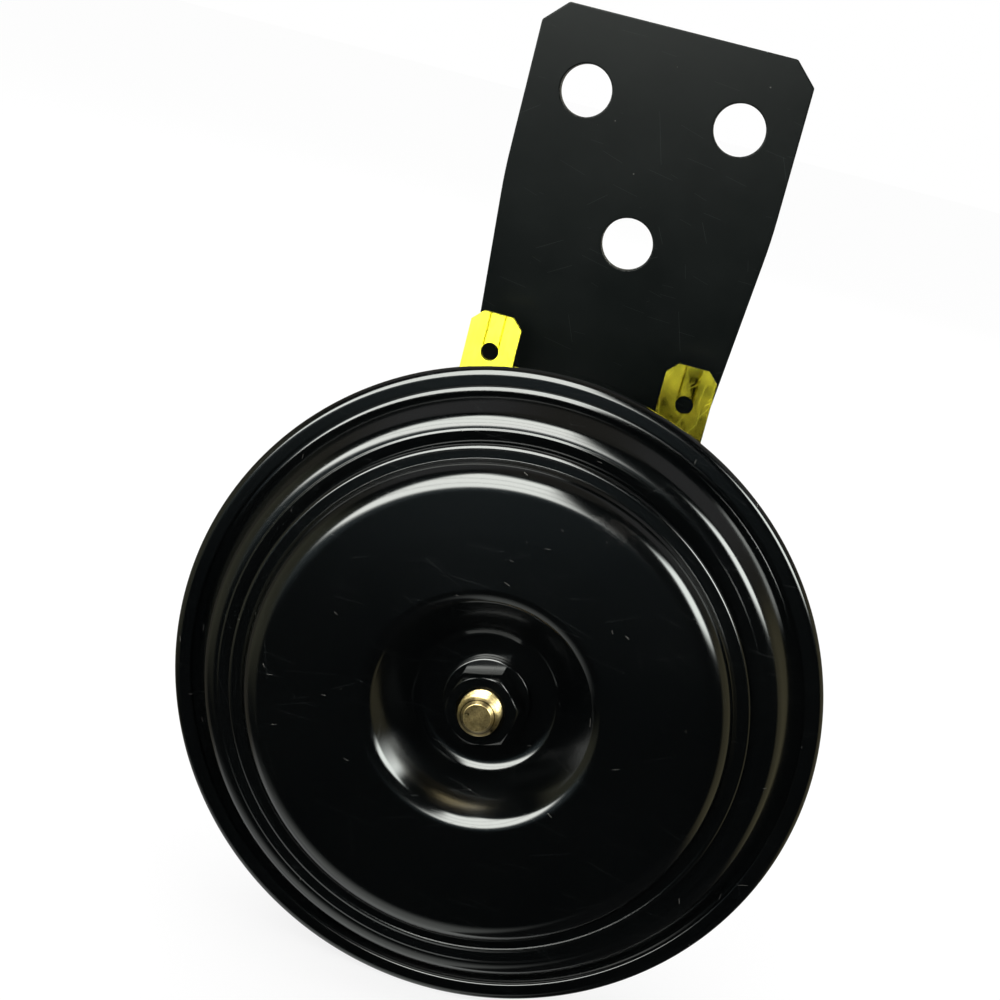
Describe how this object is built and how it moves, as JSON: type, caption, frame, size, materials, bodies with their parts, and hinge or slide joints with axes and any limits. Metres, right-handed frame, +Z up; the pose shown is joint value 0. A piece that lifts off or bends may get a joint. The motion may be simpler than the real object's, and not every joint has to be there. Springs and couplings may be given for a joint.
{
  "type": "car horn",
  "caption": "Electric disc horn: round crimped steel case with a dished tone disc in front, blade terminals behind its top edge and a flat bolt-on bracket.",
  "frame": {"origin": "centre of the bracket's three bolt holes, on the rear face that is bolted to the vehicle", "axes": "+X to the right, +Y to the rear through the mounting face, +Z up along the bracket; the sound leaves towards -Y"},
  "size_m": [0.076, 0.0476, 0.1161],
  "materials": {
    "black_enamel": "gloss black stoved enamel",
    "bracket_finish": "satin greenish-black coating, scratched, with a lighter cut edge",
    "zinc_plate": "clear zinc plate",
    "yellow_zinc": "pale yellow passivated zinc plate",
    "bare_steel": "oiled bare steel",
    "spring_steel": "rolled spring strip",
    "contact_metal": "tungsten contact button",
    "brass": "bright pressed brass with light scratches",
    "moulded_plastic": "black moulded plastic",
    "laminate": "brown pressed paper laminate",
    "gasket_paper": "oiled gasket paper",
    "copper_wire": "enamelled copper wire"
  },
  "bodies": {
    "horn": {"case": "black_enamel", "bracket": "bracket_finish", "tooth_washer": "zinc_plate", "rear_washer": "zinc_plate", "spring_washer": "zinc_plate", "rear_nut": "zinc_plate", "pole_core": "yellow_zinc", "coil_bobbin": "moulded_plastic", "coil_winding": "copper_wire", "yoke_plate": "bare_steel", "diaphragm_gasket": "gasket_paper", "diaphragm": "black_enamel", "contact_base": "bare_steel", "contact_base_rivets": "bare_steel", "contact_insulators": "laminate", "contact_stack_rivets": "bare_steel", "contact_leaf": "spring_steel", "fixed_contact_strip": "brass", "fixed_contact": "contact_metal", "adjusting_screw": "zinc_plate", "adjuster_locknut": "zinc_plate", "outer_insulator": "laminate", "inner_insulator": "laminate", "terminal_left": "brass", "terminal_right": "brass", "terminal_rivets": "brass", "coil_start_lead": "copper_wire", "coil_end_lead": "copper_wire", "contact_lead": "copper_wire"},
    "armature_set": {"armature": "yellow_zinc", "tone_disc": "black_enamel", "tone_disc_spacer": "bare_steel", "front_washer": "black_enamel", "front_nut": "black_enamel", "contact_pusher": "moulded_plastic", "moving_contact": "contact_metal"}
  },
  "joints": [
    {"name": "armature_stroke", "type": "slide", "parent": "horn", "child": "armature_set", "axis": [0, 1, 0], "range_m": [0, 0.00035], "stiffness_N_per_m": 3000, "deforming": ["diaphragm", "contact_leaf"]}
  ]
}
